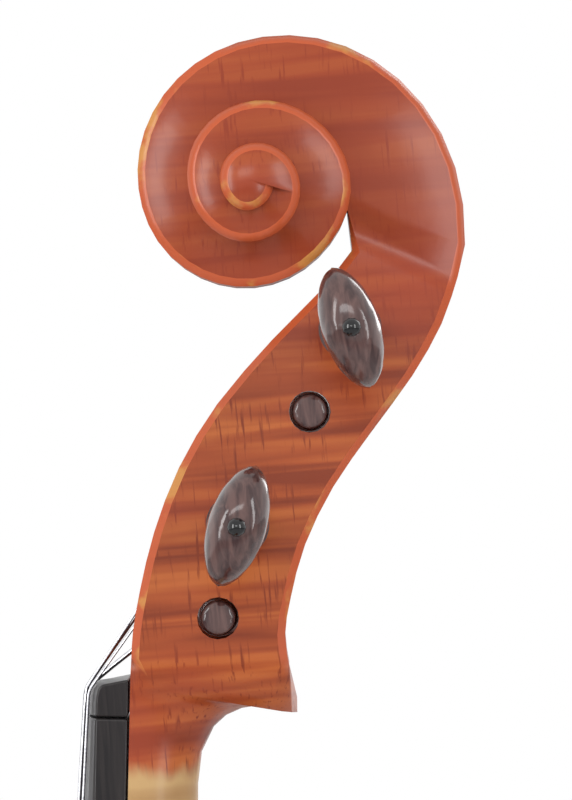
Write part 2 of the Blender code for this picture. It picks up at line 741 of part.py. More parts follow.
def neck_sections():
    """Slices from the root in the block, round the heel and up the handle to the chin."""
    base = -RIB_HEIGHT + GAP
    root = BODY_LENGTH - OVERHANG - ROOT_DEPTH
    tip = BODY_LENGTH + BUTTON_LENGTH - GAP
    radius = BUTTON_HALF_WIDTH - GAP
    rings = []
    for step, roundness in ((0, 0.1), (0.3, 0.1), (0.55, 0.15), (0.78, 0.3), (0.92, 0.5)):
        z = blend(root, tip, step)
        across = math.sqrt(max(radius ** 2 - max(z - tip + radius, 0) ** 2, 1))
        front = (0, glue_w(z + 5 * step * step))
        rings.append(section(front, neck_from_body(base, z), board_half(front[1]), across,
                             roundness))
    end = (neck_thickness(glue_w(tip + 35)), glue_w(tip + 35))
    curve = bezier(neck_from_body(base, tip), neck_from_body(base + 17, tip - 0.5),
                   (end[0], glue_w(tip + 10)), end, 5)
    for step, back in enumerate(curve + [end]):
        front = (0, glue_w(blend(tip + 6, tip + 35, step / 5)))
        rings.append(section(front, back, board_half(front[1]), board_half(front[1]),
                             min(1, 0.8 + step)))
    for w in np.linspace(end[1], -20, 5)[1:]:
        rings.append(section((0, w), (neck_thickness(w), w), board_half(w), board_half(w), 1))
    for (front_w, back_v, back_w, roundness), back_half in zip(CHIN, CHIN_BACK_WIDTHS):
        front_half = blend(PEGBOX[0][4], NUT_WIDTH / 2, min(1, abs(front_w - 0.6) / 4))
        rings.append(section((0, front_w), (back_v, back_w), front_half, back_half, roundness))
    return rings


def pegbox_sections():
    """Slices from the nut up to the throat."""
    rings = []
    count = 2 * (len(PEGBOX) - 1)
    for step in range(count + 1):
        front_v, front_w, back_v, back_w, half = turn_sample(PEGBOX, step / 2)
        rings.append(section((front_v, front_w), (back_v, back_w), half, half, 0))
    return rings


def scroll_points(side, first, last, level):
    """Points along one edge of the spiral, by a rule that gives each angle's radius and y."""
    line = []
    for step in range(first, last + 1):
        turn = THROAT_ANGLE + 360 * step / STEPS_PER_TURN
        radius, y = level(turn)
        v, w = spiral(turn, radius)
        line.append(neck(v, side * y, w))
    return line


def scroll_mesh():
    """The neck, pegbox and scroll as one closed skin."""
    rings = neck_sections() + pegbox_sections()
    points, faces = loft(rings, closed_ends=False)
    faces.append(tuple(range(12)))
    turns = STEPS_PER_TURN
    whole = SCROLL_TURNS * turns

    def add(line):
        start = len(points)
        points.extend(line)
        return list(range(start, len(points)))

    def join(first, second):
        for step in range(min(len(first), len(second)) - 1):
            faces.append((first[step], first[step + 1], second[step + 1], second[step]))

    throat_v, throat_w = spiral(THROAT_ANGLE + 360, edge_radius(THROAT_ANGLE + 360))
    throat = add([neck(throat_v, 0, throat_w)])[0]
    ridge = add(scroll_points(1, 0, turns - 1, lambda turn: (edge_radius(turn), 0))) + [throat]
    last_ring = [throat]
    for side in (1, -1):
        edge = add(scroll_points(side, 0, whole, lambda turn: (
            edge_radius(turn), half_width(turn) - CHAMFER)))
        rim = add(scroll_points(side, 0, whole, lambda turn: (
            edge_radius(turn) - CHAMFER, half_width(turn))))
        foot = add(scroll_points(side, 0, whole - turns, lambda turn: (
            edge_radius(turn + 360), half_width(turn) - BED_DROP)))
        flute = add(scroll_points(side, 0, turns - 1, lambda turn: (
            edge_radius(turn) - FLUTE_DEPTH, half_width(turn) / 2))) + [foot[0]]
        join(edge, rim)
        join(rim[:whole - turns + 1], foot)
        join(foot, edge[turns:])
        join(ridge, flute)
        join(flute, edge[:turns + 1])
        eye = add([neck(EYE[0], side * EYE_HALF_WIDTH, EYE[1])])[0]
        last = rim[whole - turns:]
        for step in range(turns):
            faces.append((last[step], last[step + 1], eye))
        faces.append((eye, rim[whole - turns], foot[-1], edge[-1], rim[-1]))
        half_ring = [foot[0], foot[0], rim[0], edge[0], flute[0]]
        last_ring += half_ring + [ridge[0]] if side == 1 else half_ring[::-1]
    low = (len(rings) - 1) * 12
    for spot in range(12):
        after = (spot + 1) % 12
        face = [low + spot, low + after, last_ring[after], last_ring[spot]]
        faces.append(tuple(dict.fromkeys(face)))
    return points, faces


def pegbox_at(front_w):
    """The pegbox's front, back and half width, level with a place on its front."""
    heights = [row[1] for row in PEGBOX]
    row = turn_sample(PEGBOX, np.interp(front_w, heights, range(len(PEGBOX))))
    return row[0:2], row[2:4], row[4]


def mortise_mesh():
    """The pegbox's hollow, which narrows and turns with it."""
    rings = []
    for front_w in np.linspace(PEGBOX[0][1], MORTISE_END, 9):
        front, back, half = pegbox_at(front_w)
        into = (back - front) / np.linalg.norm(back - front)
        open_spot = front - into * 6
        floor_spot = back - into * MORTISE_FLOOR
        if not rings:
            shift = np.array((0.0, MORTISE_START - front_w))
            open_spot = open_spot + shift
            floor_spot = floor_spot + shift
        across = half - CHEEK_THICKNESS
        rings.append([neck(open_spot[0], across, open_spot[1]),
                      neck(floor_spot[0], across, floor_spot[1]),
                      neck(floor_spot[0], -across, floor_spot[1]),
                      neck(open_spot[0], -across, open_spot[1])])
    return loft(rings)


def pegbox_half(v, w):
    """Half the pegbox's width at a peg."""
    centres = [(np.array(row[0:2]) + np.array(row[2:4])) / 2 for row in PEGBOX]
    apart = [math.hypot(centre[0] - v, centre[1] - w) for centre in centres]
    nearest = sorted(range(len(PEGBOX)), key=apart.__getitem__)[:2]
    weights = [apart[nearest[1]], apart[nearest[0]]]
    return (PEGBOX[nearest[0]][4] * weights[0] + PEGBOX[nearest[1]][4] * weights[1]) / sum(weights)


def make_neck():
    """The neck and scroll, cut for the pegs and their box."""
    head = make("neck_scroll", *scroll_mesh(), MAPLE)
    cut(head, cutter("mortise_cutter", *mortise_mesh()))
    for name, (v, w, _, side) in PEG_PLACES.items():
        half = pegbox_half(v, w) + 3
        rings = []
        for along in (-half, half):
            radius = peg_radius(name, along) + GAP
            rings.append([neck(v + a, side * along, w + b) for a, b in circle(radius, 16)])
        cut(head, cutter(f"peg_hole_{name}_cutter", *loft(rings)))
    return head


def make_root_cutter():
    """The space that the neck's root takes in the top plate, the ribs and the block."""
    root = BODY_LENGTH - OVERHANG - ROOT_DEPTH - GAP
    top_half = board_half(glue_w(BODY_LENGTH)) + 1
    low_half = BUTTON_HALF_WIDTH + GAP
    high = EDGE_THICKNESS + OVERSTAND
    outline = [(high, -top_half), (high, top_half), (-RIB_HEIGHT, low_half),
               (-RIB_HEIGHT, -low_half)]
    rings = [[body(h, y, z) for h, y in outline] for z in (root, BODY_LENGTH + OVERHANG)]
    cutter("neck_root_cutter", *loft(rings))


def board_top(y):
    """The fingerboard's height over the glue surface, at a distance from its middle."""
    crown = BOARD_RADIUS - math.sqrt(BOARD_RADIUS ** 2 - (NUT_WIDTH / 2) ** 2)
    drop = BOARD_RADIUS - math.sqrt(BOARD_RADIUS ** 2 - y ** 2)
    return BOARD_SIDE + crown - drop


def make_fingerboard():
    """The ebony board, with a curved top that widens from the nut over the body."""
    start = -NUT_LENGTH - GAP
    rings = []
    for w in (start, start - BOARD_LENGTH):
        half = board_half(w)
        rise = board_top(0) - board_top(half) + BOARD_SIDE
        ring = [(-half, -GAP)]
        for share in np.linspace(-1, 1, 9):
            y = half * share
            drop = board_top(0) - board_top(y)
            ring.append((y, -(rise - drop)))
        ring.append((half, -GAP))
        rings.append([neck(v, y, w) for y, v in ring])
    make("fingerboard", *loft(rings), EBONY)


NUT_PROFILE = ((0, 0), (-7.3, -1.1), (-7.9, -2.0), (-8.2, -3.4), (-8.3, -5.2))


def make_nut():
    """The nut, with the board's curve across its top."""
    half = NUT_WIDTH / 2
    rings = []
    for y in np.linspace(-half, half, 9):
        drop = board_top(0) - board_top(y)
        spots = [(-GAP, 0)] + [(v + drop, w) for v, w in NUT_PROFILE[1:]]
        spots += [(NUT_PROFILE[-1][0] + drop, -NUT_LENGTH), (-GAP, -NUT_LENGTH)]
        rings.append([neck(v, y, w) for v, w in spots])
    make("nut", *loft(rings), EBONY)


# Pegs

def peg_radius(name, along):
    """A peg's radius at a distance from the pegbox's middle towards its head."""
    v, w = PEG_PLACES[name][:2]
    tip = -pegbox_half(v, w) - PEG_TIP_PROUD
    return PEG_TIP_DIAMETER / 2 + (along - tip) * PEG_TAPER / 2


# Along the head, its half width and half thickness as shares of the whole
PEG_HEAD_SHAPE = ((0.0, 0.36, 0.80), (0.16, 0.56, 0.66), (0.38, 0.92, 0.78), (0.58, 1.0, 1.0),
                  (0.78, 0.90, 0.98), (0.92, 0.62, 0.76), (1.0, 0.3, 0.5))


def make_peg(name):
    """A tapered peg with a collar, a flat head and a ball at its end."""
    v, w, tilt, side = PEG_PLACES[name]
    half = pegbox_half(v, w)
    tip = -half - PEG_TIP_PROUD
    collar = half + PEG_COLLAR_OUT
    origin = neck(v, 0, w)
    lean = math.radians(tilt)

    def ring(along, wide, thick, pinch=1.0):
        spots = []
        for a, b in circle(1, 12):
            long = a * wide
            flat = b * thick * (1 - (1 - pinch) * abs(a) ** 2)
            spots.append(neck(v + long * math.sin(lean) + flat * math.cos(lean), side * along,
                              w + long * math.cos(lean) - flat * math.sin(lean)))
        return spots

    shaft_end = peg_radius(name, collar)
    ring_radius = PEG_COLLAR_DIAMETER / 2
    tip_radius = PEG_TIP_DIAMETER / 2
    rings = [ring(tip, tip_radius - 0.5, tip_radius - 0.5), ring(tip + 0.5, tip_radius, tip_radius),
             ring(collar, shaft_end, shaft_end), ring(collar + 0.2, ring_radius, ring_radius),
             ring(collar + 2.2, ring_radius, ring_radius)]
    start = collar + 2.4
    for share, wide, thick in PEG_HEAD_SHAPE:
        rings.append(ring(start + share * PEG_HEAD_LENGTH, wide * PEG_HEAD_WIDTH / 2,
                          thick * PEG_HEAD_THICKNESS / 2, 0.9))
    peg = make(f"peg_{name}", *loft(rings), ROSEWOOD, origin)
    end = start + PEG_HEAD_LENGTH
    bore = PIP_PIN_DIAMETER / 2 + GAP
    hole = [[neck(v + a, side * along, w + b) for a, b in circle(bore, 8)]
            for along in (end - PIP_PIN_LENGTH - GAP, end + 1)]
    cut(peg, cutter(f"pip_hole_{name}_cutter", *loft(hole)))
    ball = PIP_DIAMETER / 2
    centre = end + GAP + ball * 0.9
    profile = [(end - PIP_PIN_LENGTH, PIP_PIN_DIAMETER / 2), (end + GAP, PIP_PIN_DIAMETER / 2)]
    profile += [(centre - ball * math.cos(turn), ball * math.sin(turn))
                for turn in np.radians([30, 60, 90, 120, 150, 175])]
    rings = [[neck(v + a, side * along, w + b) for a, b in circle(radius, 10)]
             for along, radius in profile]
    make(f"peg_pip_{name}", *loft(rings), NYLON, origin)


# Bridge and fittings

BRIDGE_HALF = ((0.0, 16.0), (5.0, 15.4), (9.5, 12.6), (12.3, 8.2), (13.0, 3.8), (11.2, 1.6),
               (10.8, 0.0), (17.4, 0.0), (24.0, 0.0), (23.6, 2.0), (20.0, 4.0), (18.6, 9.0),
               (20.0, 13.5), (22.4, 16.4), (22.0, 19.0), (18.8, 20.6), (14.4, 20.0),
               (13.2, 22.6), (14.6, 25.6), (18.2, 26.2), (21.4, 25.0), (22.8, 27.6))
BRIDGE_SHOULDER = 21.5
HEART = ((0, 21.5), (3.2, 25.0), (2.6, 28.0), (0, 27.2), (-2.6, 28.0), (-3.2, 25.0))


def bridge_base():
    """The top plate's height in the middle, at the bridge."""
    return arching(0, BRIDGE_AT, TOP_ARCH)


def bridge_top(y):
    """The height h of the bridge's curved top."""
    drop = BRIDGE_RADIUS - math.sqrt(BRIDGE_RADIUS ** 2 - y ** 2)
    return bridge_base() + BRIDGE_HEIGHT - drop


def make_bridge():
    """The bridge, thinner towards its top, with its feet cut to the plate's arch."""
    bpy.context.view_layer.update()
    plate_faces = surface(bpy.data.objects["top_plate"])
    scale_y = BRIDGE_WIDTH / 48.0
    scale_h = BRIDGE_HEIGHT / 38.0
    half = [(y * scale_y, bridge_base() + h * scale_h) for y, h in BRIDGE_HALF]
    half += [(y * scale_y, bridge_top(y * scale_y))
             for y in np.linspace(BRIDGE_SHOULDER, 0, 6)]
    outline = half[:-1] + [(0, half[-1][1])] + [(-y, h) for y, h in half[-2:0:-1]]

    def thickness(h):
        share = min(1, max(0, (h - bridge_base()) / BRIDGE_HEIGHT))
        return blend(BRIDGE_FOOT_THICKNESS, BRIDGE_TOP_THICKNESS, share)

    rings = []
    for face in (-1, 1):
        ring = []
        for y, h in outline:
            z = BRIDGE_AT + face * thickness(h) / 2
            if h <= bridge_base():
                h = max(height_at(plate_faces, y, z, TOP_ARCH * 2, -1),
                        height_at(plate_faces, y, BRIDGE_AT, TOP_ARCH * 2, -1)) + GAP
            ring.append(body(h, y, z))
        rings.append(ring)
    bridge = make("bridge", *loft(rings), BRIDGE_MAPLE)
    heart = [(y * scale_y, bridge_base() + h * scale_h) for y, h in HEART]
    hole = [[body(h, y, BRIDGE_AT + z) for y, h in heart]
            for z in (-BRIDGE_FOOT_THICKNESS, BRIDGE_FOOT_THICKNESS)]
    cut(bridge, cutter("heart_cutter", *loft(hole)))


def make_saddle():
    """The ebony saddle let into the top plate's lower edge."""
    half = SADDLE_WIDTH / 2
    profile = [(0, SADDLE_DEPTH), (0, 0), (SADDLE_HEIGHT - 2, -0.2), (SADDLE_HEIGHT - 0.5, 0.6),
               (SADDLE_HEIGHT, 2.0), (SADDLE_HEIGHT, 3.4), (EDGE_THICKNESS + 1, SADDLE_DEPTH)]
    rings = []
    for y in (-half, -half * 0.72, half * 0.72, half):
        lower = EDGE_THICKNESS + 0.6
        ends = abs(y) == half
        rings.append([body(min(h, lower) if ends else h, y, z) for h, z in profile])
    make("saddle", *loft(rings), EBONY)


TAILPIECE_RADIUS = 36.0
TAIL_TOP_Z = BRIDGE_AT - STRING_AFTERLENGTH
TAIL_END_Z = TAIL_TOP_Z - TAILPIECE_LENGTH
TAIL_END_H = SADDLE_HEIGHT + TAILGUT_DIAMETER / 2 + GAP + 2.6
FRET_AT = 5.0
FRET_HEIGHT = 1.5
FRET_LENGTH = 2.5
STRING_HOLES_AT = 13.0
STRING_HOLE_DIAMETER = 3.2
TAIL_STRING_SPREAD = 29.0


def tail_top_h():
    """The height of the tailpiece's middle surface at its upper end."""
    fall = (bridge_top(0) - TAIL_END_H) / (BRIDGE_AT - TAIL_END_Z)
    level = bridge_top(0) - fall * STRING_AFTERLENGTH
    return level - TAILPIECE_THICKNESS / 2 - FRET_HEIGHT - 2 * GAP


def tail(y, along, up):
    """A point of the tailpiece, from its upper end, with up measured from its middle surface."""
    start = np.array((tail_top_h(), TAIL_TOP_Z))
    end = np.array((TAIL_END_H, TAIL_END_Z))
    down = (end - start) / np.linalg.norm(end - start)
    out = np.array((-down[1], down[0]))
    drop = TAILPIECE_RADIUS - math.sqrt(TAILPIECE_RADIUS ** 2 - y ** 2)
    h, z = start + down * along + out * (up - drop)
    return body(h, y, z)


def tail_length():
    return math.hypot(tail_top_h() - TAIL_END_H, TAILPIECE_LENGTH)


def make_tailpiece():
    """The tailpiece, its fret and the holes for the strings and the tailgut."""
    length = tail_length()
    half_thick = TAILPIECE_THICKNESS / 2
    top = TAILPIECE_TOP_WIDTH / 2
    end = TAILPIECE_END_WIDTH / 2
    shape = ((0, top - 3), (2.0, top - 0.6), (8.0, top), (0.34 * length, blend(top, end, 0.42)),
             (0.72 * length, blend(top, end, 0.82)), (length - 2, end), (length, end - 1.5))
    rings = []
    for along, half in shape:
        columns = np.linspace(-half, half, 7)
        rings.append([tail(y, along, half_thick) for y in columns]
                     + [tail(y, along, -half_thick) for y in columns[::-1]])
    piece = make("tailpiece", *loft(rings), ROSEWOOD)
    for name, y in string_places(TAIL_STRING_SPREAD).items():
        hole = [[tail(y, STRING_HOLES_AT, 0) + (tail(0, 1, 0) - tail(0, 0, 0)) * a
                 + Vector((0, b * MM, 0)) + (tail(0, 0, 1) - tail(0, 0, 0)) * up
                 for a, b in circle(STRING_HOLE_DIAMETER / 2, 8)]
                for up in (-TAILPIECE_THICKNESS, TAILPIECE_THICKNESS)]
        cut(piece, cutter(f"string_hole_{name}_cutter", *loft(hole)))
    bore = TAILGUT_DIAMETER / 2 + GAP
    for side in (1, -1):
        y = side * TAILGUT_SPREAD / 2
        hole = [[tail(y, along, 0) + Vector((0, a * MM, 0))
                 + (tail(0, 0, 1) - tail(0, 0, 0)) * b for a, b in circle(bore, 10)]
                for along in (length - 9, length + 3)]
        cut(piece, cutter(f"tailgut_hole_{side + 1}_cutter", *loft(hole)))
    rings = []
    for y in np.linspace(-top + 2.5, top - 2.5, 9):
        low = half_thick + GAP
        high = half_thick + FRET_HEIGHT
        rings.append([tail(y, FRET_AT - FRET_LENGTH / 2, low),
                      tail(y, FRET_AT - FRET_LENGTH / 4, high),
                      tail(y, FRET_AT + FRET_LENGTH / 4, high),
                      tail(y, FRET_AT + FRET_LENGTH / 2, low)])
    make("tailpiece_fret", *loft(rings), EBONY)


def make_end_button():
    """The button in the bottom block that the tailgut loops round."""
    face = OVERHANG - GAP
    shank = BUTTON_SHANK_DIAMETER / 2
    throat = BUTTON_NECK_DIAMETER / 2
    head = BUTTON_HEAD_DIAMETER / 2
    low = face - BUTTON_NECK_LENGTH - 2 * OVERHANG / 3
    profile = [(face + END_BLOCK_DEPTH + 4, shank - 0.5), (face, shank), (face, throat + 1.2),
               (face - 1.2, throat), (low + 1.5, throat), (low, head - 0.6), (low - 1.2, head),
               (low - BUTTON_HEAD_LENGTH * 0.75, head * 0.82),
               (low - BUTTON_HEAD_LENGTH, head * 0.55)]
    rings = [[body(-RIB_HEIGHT / 2 + a, b, z) for a, b in circle(radius, 20)]
             for z, radius in profile]
    make("end_button", *loft(rings), ROSEWOOD)


def make_tailgut():
    """The cord from the tailpiece over the saddle and round the button, and back."""
    radius = TAILGUT_DIAMETER / 2
    y = TAILGUT_SPREAD / 2
    length = tail_length()
    loop = BUTTON_NECK_DIAMETER / 2 + GAP + radius
    centre_h = -RIB_HEIGHT / 2
    level = -radius - 2.6
    over = SADDLE_HEIGHT + GAP + radius
    half = [tail(y, length - 8, 0), tail(y, length - 4, 0), tail(y, length, 0),
            body(over + 0.2, y, 4.0), body(over, y, 2.0), body(over - 0.7, y, -0.4),
            body(over - 2.6, y, -2.4), body(over - 6, y, level), body(-6, y + 0.4, level)]
    turns = np.radians(np.linspace(0, 180, 9))
    bend = [body(centre_h - loop * math.sin(turn), loop * math.cos(turn), level)
            for turn in turns]
    mirrored = [Vector((point.x, -point.y, point.z)) for point in half[::-1]]
    tube("tailgut", half + bend + mirrored, TAILGUT_DIAMETER, NYLON)


# Strings

def string_places(spread):
    """Each string's distance from the middle, the bass string first."""
    names = list(STRING_DIAMETERS)
    return {name: spread / 2 - spread * order / 3 for order, name in enumerate(names)}


def winding(name, from_v, from_w):
    """The turns of a string on its peg, and the height across the box where they start."""
    v, w, _, side = PEG_PLACES[name]
    diameter = STRING_DIAMETERS[name]
    last_y = side * (pegbox_half(v, w) - CHEEK_THICKNESS - 1.0 - diameter / 2)
    first_y = last_y - side * STRING_TURNS * (diameter + STRING_TURN_GAP)
    steps = 24 * STRING_TURNS

    def radius(y):
        return peg_radius(name, side * y) / math.cos(math.pi / 12) + GAP + diameter / 2

    away = math.hypot(v - from_v, w - from_w)
    slope = math.atan2(w - from_w, v - from_v) + math.asin(radius(first_y) / away)
    start = slope + math.pi / 2
    line = []
    for step in range(steps + 1):
        y = blend(first_y, last_y, step / steps)
        turn = start - 2 * math.pi * step / 24
        line.append((v + radius(y) * math.cos(turn), y, w + radius(y) * math.sin(turn)))
    line.append((line[-1][0] + diameter * math.sin(turn), line[-1][1],
                 line[-1][2] - diameter * math.cos(turn)))
    return line


def least_gap(line, diameter):
    """The smallest space between a cord's turns, measured between its points."""
    spots = np.array(line)
    apart = np.linalg.norm(spots[:, None] - spots[None], axis=2)
    order = np.arange(len(spots))
    far = np.abs(order[:, None] - order[None]) > 12
    return float(apart[far].min()) - diameter


def make_string(name):
    """A string from its turns on the peg, over the nut and the bridge, to the tailpiece."""
    diameter = STRING_DIAMETERS[name]
    lift = GAP + diameter / 2
    nut_y = string_places(NUT_STRING_SPREAD)[name]
    bridge_y = string_places(BRIDGE_STRING_SPREAD)[name]
    tail_y = string_places(TAIL_STRING_SPREAD)[name]
    drop = board_top(0) - board_top(nut_y)
    rest = [(v + drop - lift * share, nut_y, w + lift * (1 - share))
            for (v, w), share in zip(NUT_PROFILE[1:], (0.75, 0.92, 1.0, 1.0))]
    turns = winding(name, rest[0][0], rest[0][2])
    print(f"string_{name} least gap between turns {least_gap(turns, diameter):.2f} mm")
    line = [neck(*spot) for spot in turns[::-1] + rest]
    over = bridge_top(bridge_y) + lift
    half_top = BRIDGE_TOP_THICKNESS / 2
    line += [body(over, bridge_y, BRIDGE_AT + half_top), body(over, bridge_y, BRIDGE_AT - half_top)]
    half_thick = TAILPIECE_THICKNESS / 2
    line += [tail(tail_y, FRET_AT, half_thick + FRET_HEIGHT + lift),
             tail(tail_y, STRING_HOLES_AT - 1.2, half_thick + lift),
             tail(tail_y, STRING_HOLES_AT, half_thick - 0.6),
             tail(tail_y, STRING_HOLES_AT, -half_thick - 2)]
    tube(f"string_{name}", line, diameter, STEEL)


def main():
    clear_scene()
    make_root_cutter()
    top = make_plates()
    cut(top, bpy.data.objects["neck_root_cutter"])
    make_ribs()
    make_blocks()
    make_linings()
    make_bar_and_post()
    make_neck()
    make_fingerboard()
    make_nut()
    for name in PEG_PLACES:
        make_peg(name)
    make_bridge()
    make_saddle()
    make_tailpiece()
    make_end_button()
    make_tailgut()
    for name in STRING_DIAMETERS:
        make_string(name)


main()
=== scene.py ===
"""A viola whose head is seen from the treble side, against white."""
import json
import math

import bmesh
import bpy
from mathutils import Matrix, Vector


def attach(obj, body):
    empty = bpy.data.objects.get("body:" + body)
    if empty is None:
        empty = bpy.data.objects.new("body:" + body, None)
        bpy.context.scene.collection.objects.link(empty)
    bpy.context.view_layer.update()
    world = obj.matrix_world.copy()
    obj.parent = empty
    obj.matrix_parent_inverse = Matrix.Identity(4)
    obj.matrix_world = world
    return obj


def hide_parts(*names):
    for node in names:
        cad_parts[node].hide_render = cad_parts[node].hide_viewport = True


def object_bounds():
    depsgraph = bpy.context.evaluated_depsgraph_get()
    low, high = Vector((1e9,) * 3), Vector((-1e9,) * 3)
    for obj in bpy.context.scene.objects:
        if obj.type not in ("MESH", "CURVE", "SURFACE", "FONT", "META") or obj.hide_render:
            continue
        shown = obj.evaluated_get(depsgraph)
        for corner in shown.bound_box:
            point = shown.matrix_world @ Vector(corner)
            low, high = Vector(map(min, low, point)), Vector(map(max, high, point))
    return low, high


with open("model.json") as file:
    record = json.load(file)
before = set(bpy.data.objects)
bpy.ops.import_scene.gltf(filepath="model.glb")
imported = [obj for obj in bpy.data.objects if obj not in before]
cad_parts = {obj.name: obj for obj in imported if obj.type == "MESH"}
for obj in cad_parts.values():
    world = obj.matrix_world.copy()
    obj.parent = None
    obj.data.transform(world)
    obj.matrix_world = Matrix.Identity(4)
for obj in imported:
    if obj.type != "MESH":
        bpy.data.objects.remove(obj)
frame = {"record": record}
cad_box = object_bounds()
cad_nodes = {item.name: item for item in bpy.context.scene.objects if item.type == "MESH"}

# The scroll end of the nut, and the direction from there along the neck to the scroll, metres
NUT_POINT = Vector((-0.028017, 0.0, -0.071794))
NECK_LINE = Vector((0.108, 0.0, 0.99415))

# Heights along that line, metres: where the scroll's red sets in, where the chamfers of the
# head start, and the stretch of bare neck between two edges of varnish
RED_FROM, RED_TO = 0.045, 0.085
CHAMFER_FROM, CHAMFER_TO = 0.000, 0.006
VARNISH_END = -0.0175
VARNISH_END_ABOVE, VARNISH_END_BELOW = 0.002, 0.0025
VARNISH_RETURN = -0.122
VARNISH_RETURN_FADE = 0.006
VARNISH_RAGGED = 0.009

# How far a face of the head turns towards the side, where it counts as a chamfer
SLANT_LOW, SLANT_LOW_FULL = 0.35, 0.50
SLANT_HIGH, SLANT_HIGH_FULL = 0.95, 0.86

# Camera, metres: the view is 800 pixels high, at 5.3 pixels to the millimetre
VIEW_CENTRE = Vector((0.005835, -0.010, -0.021948))
VIEW_DISTANCE = 1.2
VIEW_UP = Vector((0.0884, 0.0, 0.9961))
VIEW_HEIGHT = 0.150943
SENSOR = 36.0
CLIP_END = 20.0

# Softboxes: place, width and height in metres, and power in watts
SOFTBOXES = {
    "left_softbox": ((-0.95, -0.75, 0.30), (0.35, 1.0), 8.0),
    "right_softbox": ((0.95, -0.80, 0.15), (0.30, 1.0), 6.0),
    "front_softbox": ((-0.10, -1.40, 0.60), (0.9, 0.4), 5.0),
    "back_softbox": ((0.70, 1.10, 0.50), (0.6, 0.9), 7.0),
}
AMBIENT_TINT = (0.95, 0.97, 1.0, 1.0)
AMBIENT_STRENGTH = 0.40
WHITE = (1.0, 1.0, 1.0, 1.0)
FLOOR_SIZE = 6.0
FLOOR_GAP = 0.003
FLOOR_SHADE = 0.98

# Colours, linear
LIGHT_MAPLE = (0.50, 0.128, 0.032)
MIDDLE_MAPLE = (0.37, 0.074, 0.020)
DARK_MAPLE = (0.22, 0.036, 0.011)
RED_MAPLE = (0.34, 0.050, 0.021)
# Painted highlight for the head's chamfers, a brighter orange-red
CHAMFER_PAINTED_HIGHLIGHT = (0.60, 0.115, 0.040)
WORN_MAPLE = (0.64, 0.27, 0.07)
# Painted shade for the hollows of the head
RECESS_PAINTED_SHADE = (0.095, 0.010, 0.006)
BARE_LIGHT = (0.56, 0.35, 0.155)
BARE_DARK = (0.41, 0.225, 0.090)
SPRUCE_LIGHT = (0.60, 0.215, 0.050)
SPRUCE_DARK = (0.31, 0.085, 0.022)
EBONY_DARK = (0.010, 0.008, 0.009)
EBONY_LIGHT = (0.024, 0.019, 0.019)
ROSEWOOD_DARK = (0.050, 0.022, 0.022)
ROSEWOOD_LIGHT = (0.135, 0.070, 0.062)
BRIDGE_LIGHT = (0.60, 0.38, 0.18)
BRIDGE_DARK = (0.44, 0.25, 0.11)
INNER_LIGHT = (0.60, 0.42, 0.23)
INNER_DARK = (0.45, 0.29, 0.14)
STEEL = (0.58, 0.58, 0.60)
STEEL_SHADE = (0.40, 0.40, 0.43)
BLACK = (0.006, 0.006, 0.007)
BLACK_LIFT = (0.012, 0.012, 0.013)
FLOOR_PALE = (0.80, 0.80, 0.79)

# Patterns, as features to the metre along X, Y and Z
HEAD_FLAME = (14.0, 14.0, 250.0)
BACK_FLAME = (9.0, 14.0, 150.0)
RIB_FLAME = (8.0, 150.0, 150.0)
BARE_FLAME = (20.0, 20.0, 150.0)
PORES = (1400.0, 1400.0, 90.0)
RED_CLOUDS = (38.0, 38.0, 38.0)
EDGE_WEAR = (95.0, 95.0, 95.0)
RAGGED_EDGE = (140.0, 140.0, 70.0)
HEAD_RIPPLE = (260.0, 260.0, 260.0)
PLATE_RIPPLE = (220.0, 220.0, 220.0)
WINTER_LINES = (30.0, 820.0, 3.0)
SPRUCE_CLOUDS = (22.0, 22.0, 14.0)
EBONY_GRAIN = (900.0, 900.0, 40.0)
ROSEWOOD_GRAIN = (700.0, 380.0, 120.0)
BRIDGE_GRAIN = (500.0, 60.0, 500.0)
INNER_GRAIN = (700.0, 700.0, 30.0)
WINDING = (60.0, 60.0, 3400.0)
BLACK_CLOUDS = (400.0, 400.0, 400.0)
FLOOR_CLOUDS = (3.0, 3.0, 3.0)

# How the patterns are turned, radians about X, Y and Z
HEAD_TURN = (0.06, 0.14, 0.0)
BACK_TURN = (0.05, 0.0, 0.0)
RIB_TURN = (0.0, 0.05, 0.08)
BARE_TURN = (0.06, 0.10, 0.0)
STREAK_TURN = (0.04, 0.09, 0.0)
UNTURNED = (0.0, 0.0, 0.0)

# How far the painted shade of the hollows looks for nearby wood, metres, and with how many rays
PAINTED_SHADE_REACH = 0.007
PAINTED_SHADE_RAYS = 6


